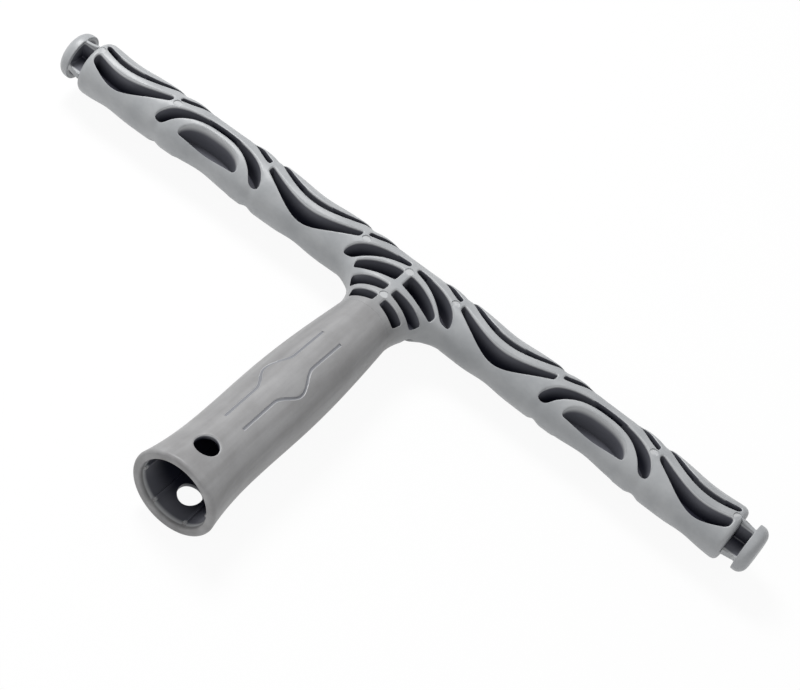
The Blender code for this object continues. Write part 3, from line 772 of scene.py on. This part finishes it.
def make_catch(name, side):
    """A domed flange on a crossed neck, with a tongue into the bar."""
    outline = [(0, OUTER_X)]
    for i in range(10):
        angle = i / 9 * pi / 2
        radius = FLANGE_FACE + (FLANGE_RADIUS - FLANGE_FACE) * sin(angle)
        base = FLANGE_X + FLANGE_RIM
        outline.append((radius, base + (OUTER_X - base) * cos(angle)))
    outline += [(FLANGE_RADIUS, FLANGE_X), (0, FLANGE_X)]
    outline = [(radius, place * side) for radius, place in outline]
    catch = lathe(name, outline, "X", 96)
    joined = FLANGE_X + FLANGE_RIM / 2
    neck = BAR_END_X + 0.03 * MM
    half = [(neck, CATCH_WEB_BAR), (joined, CATCH_WEB_FLANGE)]
    web = plate("web", half, side, CATCH_WEB_HALF_THICKNESS)
    combine(catch, web, "UNION")
    half = []
    for i in range(9):
        angle = i / 8 * radians(62)
        reach = BAR_END_ROUND + CATCH_SPINE_GAP
        round_x = BAR_END_X - BAR_END_ROUND + reach * cos(angle)
        half.append((round_x, BAR_RADIUS - BAR_END_ROUND + reach * sin(angle)))
    high_x, high = half[-1]
    for i in range(1, 9):
        share = i / 8
        y = CATCH_SPINE_FLANGE + (high - CATCH_SPINE_FLANGE) * (1 - share) ** 2
        half.append((high_x + (joined - high_x) * share, y))
    spine = plate("spine", half, side, CATCH_SPINE_HALF_THICKNESS)
    spine.data.transform(Matrix.Rotation(pi / 2, 4, "X"))
    combine(catch, spine, "UNION")
    low_x, high_x = sorted(((BAR_END_X - TONGUE_LENGTH) * side, joined * side))
    low = (low_x, -6 * MM, -MM)
    combine(catch, box("tongue", low, (high_x, 6 * MM, MM)), "UNION")
    apply_modifier(catch, "REMESH", mode="VOXEL", voxel_size=0.25 * MM, adaptivity=0)
    apply_modifier(catch, "SMOOTH", factor=0.5, iterations=3)
    return catch


def smooth(piece, angle):
    only(piece)
    bpy.ops.object.shade_smooth_by_angle(angle=radians(angle))


def mark_shade_depth(piece, depth_at):
    """Stores, for each point, the depth in millimetres by which the shader paints shade in hollows.
    """
    depth = piece.data.attributes.new("depth", "FLOAT", "POINT")
    for vertex, value in zip(piece.data.vertices, depth.data):
        value.value = max(depth_at(*vertex.co), 0) / MM


def painted_cell_shade(x, y):
    """How much stronger than in the others the painted shade of a cell is: the far ones are narrow
    and get more, the cores are open and get less.
    """
    if y > 2.2 * MM:
        return 2.5
    reach = abs(abs(x) - 2 * PITCH) / CORE_HALF_SPAN
    if reach < 1.05:
        core_y = (FOOT_Y + CORE_CROWN) * sqrt(max(1 - reach ** CORE_POWER, 0)) - FOOT_Y
        if y < core_y + 0.9 * MM:
            return 0.32
    return 1


def shade_depth_under(skin):
    """A function that gives how deep a point lies in the cells that are cut into a skin, scaled by
    the strength of the painted shade there.
    """

    def depth(x, y, z):
        point = Vector((x, y, z))
        if skin.find_nearest(point, 0.3 * MM)[0]:
            return 0
        hit = skin.ray_cast(point, Vector((0, 0, 1 if z > 0 else -1)))[0]
        return (hit - point).length * painted_cell_shade(x, y) if hit else 0

    return depth


def handle_shade_depth(x, y, z):
    """Painted shade for the bore, the lock hole and the sunk lines, as a depth."""
    across = hypot(x, z)
    if across < bore_radius(y) + 0.1 * MM:
        return (y - MOUTH_Y - 1.9 * MM) * 0.6
    if hypot(x, y - LOCK_Y) < LOCK_RADIUS + 0.1 * MM:
        return tube_height(x, y) - abs(z)
    if -120 * MM < y < -56 * MM and across < tube_radius(y) - 0.12 * MM:
        return MM
    return 0


def catch_shade_depth(x, y, z):
    """How deep a point of the neck lies under the flange's edge, for the painted shade there."""
    if abs(x) > FLANGE_X + 0.3 * MM:
        return 0
    return 9.4 * MM - hypot(y, z)


class Wire:
    """A shader socket that can be used in sums."""

    def __init__(self, tree, socket):
        self.tree = tree
        self.socket = socket

    def node(self, kind, settings, inputs, output=0):
        made = self.tree.nodes.new(kind)
        for key, value in settings.items():
            setattr(made, key, value)
        for key, value in inputs.items():
            if isinstance(value, Wire):
                self.tree.links.new(value.socket, made.inputs[key])
            else:
                made.inputs[key].default_value = value
        return Wire(self.tree, made.outputs[output])

    def maths(self, operation, *values):
        return self.node("ShaderNodeMath", {"operation": operation}, dict(enumerate(values)))

    def __add__(self, other):
        return self.maths("ADD", self, other)

    def __mul__(self, other):
        return self.maths("MULTIPLY", self, other)

    def ramp(self, low, high):
        """0 below low, 1 above high, smooth between."""
        inputs = {"Value": self, "From Min": low, "From Max": high}
        settings = {"interpolation_type": "SMOOTHSTEP", "clamp": True}
        return self.node("ShaderNodeMapRange", settings, inputs)

    def mix(self, dark, light):
        """A colour between two others, by this share."""
        settings = {"data_type": "RGBA"}
        inputs = {0: self, 6: dark, 7: light}
        return self.node("ShaderNodeMix", settings, inputs, 2)

    def noise(self, scale, detail):
        inputs = {"Vector": self, "Scale": scale, "Detail": detail, "Roughness": 0.55}
        return self.node("ShaderNodeTexNoise", {}, inputs)


def moulded_plastic(name, roughness):
    """Satin moulded plastic with a faint cloud and a fine grain, a painted highlight on the rims,
    painted shade in the hollows and painted shade over the handle.
    """
    material = bpy.data.materials.new(name)
    material.use_nodes = True
    tree = material.node_tree
    shader = tree.nodes["Principled BSDF"]
    start = Wire(tree, None)
    place = start.node("ShaderNodeTexCoord", {}, {}, "Object")
    parts = start.node("ShaderNodeSeparateXYZ", {}, {"Vector": place}, "Y")
    clouds = place.noise(70, 3)
    grain = place.noise(2600, 2)
    specks = place.noise(700, 3)
    stretched = {"Vector": place, "Scale": (1, 0.1, 1)}
    streaks = start.node("ShaderNodeMapping", {}, stretched).noise(150, 3)
    tone = clouds.ramp(0.3, 0.7) * 0.6 + specks * 0.4
    on_bar = tone.mix(BAR_DARK, BAR_LIGHT)
    tone = tone * 0.5 + streaks.ramp(0.35, 0.68) * 0.5
    on_handle_with_painted_shade = tone.mix(HANDLE_DARK_WITH_PAINTED_SHADE, HANDLE_PALE_WITH_PAINTED_SHADE)
    # The handle's painted shade gives way to the bar's tone near the hub
    painted_shade_off_towards_bar = parts.ramp(SHIFT - 36 * MM, SHIFT - 10 * MM)
    colour = painted_shade_off_towards_bar.mix(on_handle_with_painted_shade, on_bar)
    depth = start.node("ShaderNodeAttribute", {"attribute_name": "depth"}, {}, "Fac")
    # Painted highlight on the rims just inside the cells
    colour = depth.ramp(0.02, 0.25).mix(colour, RIM_PAINTED_HIGHLIGHT)
    # Painted shade on the cell walls, darker still deeper in the hollows
    colour = depth.ramp(0.35, 1.3).mix(colour, CELL_WALL_PAINTED_SHADE)
    colour = depth.ramp(1.8, 8.0).mix(colour, CELL_FLOOR_PAINTED_SHADE)
    tree.links.new(colour.socket, shader.inputs["Base Color"])
    rough = grain * 0.12 + (roughness - 0.06)
    tree.links.new(rough.socket, shader.inputs["Roughness"])
    relief = grain * 0.6 + specks * 0.4
    inputs = {"Height": relief, "Strength": 0.4, "Distance": 0.04 * MM}
    normal = start.node("ShaderNodeBump", {}, inputs)
    tree.links.new(normal.socket, shader.inputs["Normal"])
    return material


def direct_rays(start):
    """1 for what the camera sees directly, mirrored or through glass, and 0 for other rays."""
    rays = start.node("ShaderNodeLightPath", {}, {}, "Is Camera Ray")
    paths = rays.socket.node
    for name in ("Is Glossy Ray", "Is Transmission Ray"):
        rays = rays.maths("MAXIMUM", rays, Wire(start.tree, paths.outputs[name]))
    return rays


def ground_material():
    """White for the camera, and matt for the light, so that a faint shadow stays."""
    material = bpy.data.materials.new("white_ground")
    material.use_nodes = True
    tree = material.node_tree
    tree.nodes.clear()
    start = Wire(tree, None)
    rays = direct_rays(start)
    matt = start.node("ShaderNodeBsdfDiffuse", {}, {"Color": (0.85, 0.85, 0.85, 1)})
    white = start.node("ShaderNodeEmission", {}, {"Color": WHITE, "Strength": 1.0})
    shown = start.node("ShaderNodeMixShader", {}, {0: rays * 0.93, 1: matt, 2: white})
    output = tree.nodes.new("ShaderNodeOutputMaterial")
    tree.links.new(shown.socket, output.inputs["Surface"])
    return material


def make_world():
    """A white surround for the camera that lights the part only softly."""
    world = bpy.data.worlds.new("studio")
    bpy.context.scene.world = world
    world.use_nodes = True
    tree = world.node_tree
    tree.nodes.clear()
    start = Wire(tree, None)
    rays = direct_rays(start)
    soft = start.node("ShaderNodeBackground", {}, {"Color": WHITE, "Strength": 0.4})
    white = start.node("ShaderNodeBackground", {}, {"Color": WHITE, "Strength": 1.0})
    shown = start.node("ShaderNodeMixShader", {}, {0: rays, 1: soft, 2: white})
    output = tree.nodes.new("ShaderNodeOutputWorld")
    tree.links.new(shown.socket, output.inputs["Surface"])


def add_lamp(name, place, size, power):
    """A round soft lamp that looks at the middle of the part."""
    data = bpy.data.lights.new(name, "AREA")
    data.shape = "DISK"
    data.size = size
    data.energy = power
    lamp = bpy.data.objects.new(name, data)
    bpy.context.scene.collection.objects.link(lamp)
    lamp.location = place
    lamp.rotation_euler = (-Vector(place)).to_track_quat("-Z", "Y").to_euler()


def make_stage():
    """The floor, the light and the camera."""
    bpy.ops.object.select_all(action="DESELECT")
    bpy.ops.mesh.primitive_plane_add(size=8, location=(0, 0, cad_box[0][2] - 0.05 * MM))
    floor = bpy.context.object
    floor.name = "floor"
    floor.data.materials.append(ground_material())
    make_world()
    add_lamp("key", (-0.55, 0.2, 0.9), 0.4, 10)
    add_lamp("fill", (0.3, -0.9, 0.9), 1.2, 3.0)
    data = bpy.data.cameras.new("camera")
    data.sensor_width = 36
    data.lens = 102.36
    data.clip_start = 0.05
    camera = bpy.data.objects.new("camera", data)
    bpy.context.scene.collection.objects.link(camera)
    camera.location = (0.20953, -0.61076 + SHIFT, 0.64953)
    camera.rotation_euler = (0.717237, -0.273373, 0.619658)
    bpy.context.scene.camera = camera
    bpy.context.scene.view_settings.view_transform = "Standard"


def main():
    bar_plastic = moulded_plastic("bar_plastic", 0.42)
    handle_plastic = moulded_plastic("handle_plastic", 0.45)
    bar, skin = make_cross_bar()
    mark_shade_depth(bar, shade_depth_under(skin))
    for vertex in bar.data.vertices:
        vertex.co.y -= bow_at(vertex.co.x)
    handle = make_handle()
    mark_shade_depth(handle, handle_shade_depth)
    dressed = [(bar, "cross_bar", "bar_plastic", bar_plastic)]
    dressed.append((handle, "handle_socket", "handle_plastic", handle_plastic))
    for node, side in (("end_catch_left", -1), ("end_catch_right", 1)):
        catch = make_catch(node + "_moulding", side)
        mark_shade_depth(catch, catch_shade_depth)
        catch.data.transform(Matrix.Translation((0, -bow_at(FLANGE_X), 0)))
        dressed.append((catch, node, "bar_plastic", bar_plastic))
    for piece, node, slot, material in dressed:
        piece.data.transform(Matrix.Translation((0, SHIFT, 0)))
        piece.data.materials.clear()
        piece.data.materials.append(material)
        smooth(piece, 42)
        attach(piece, "root")
        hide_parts(node)
    make_stage()


main()
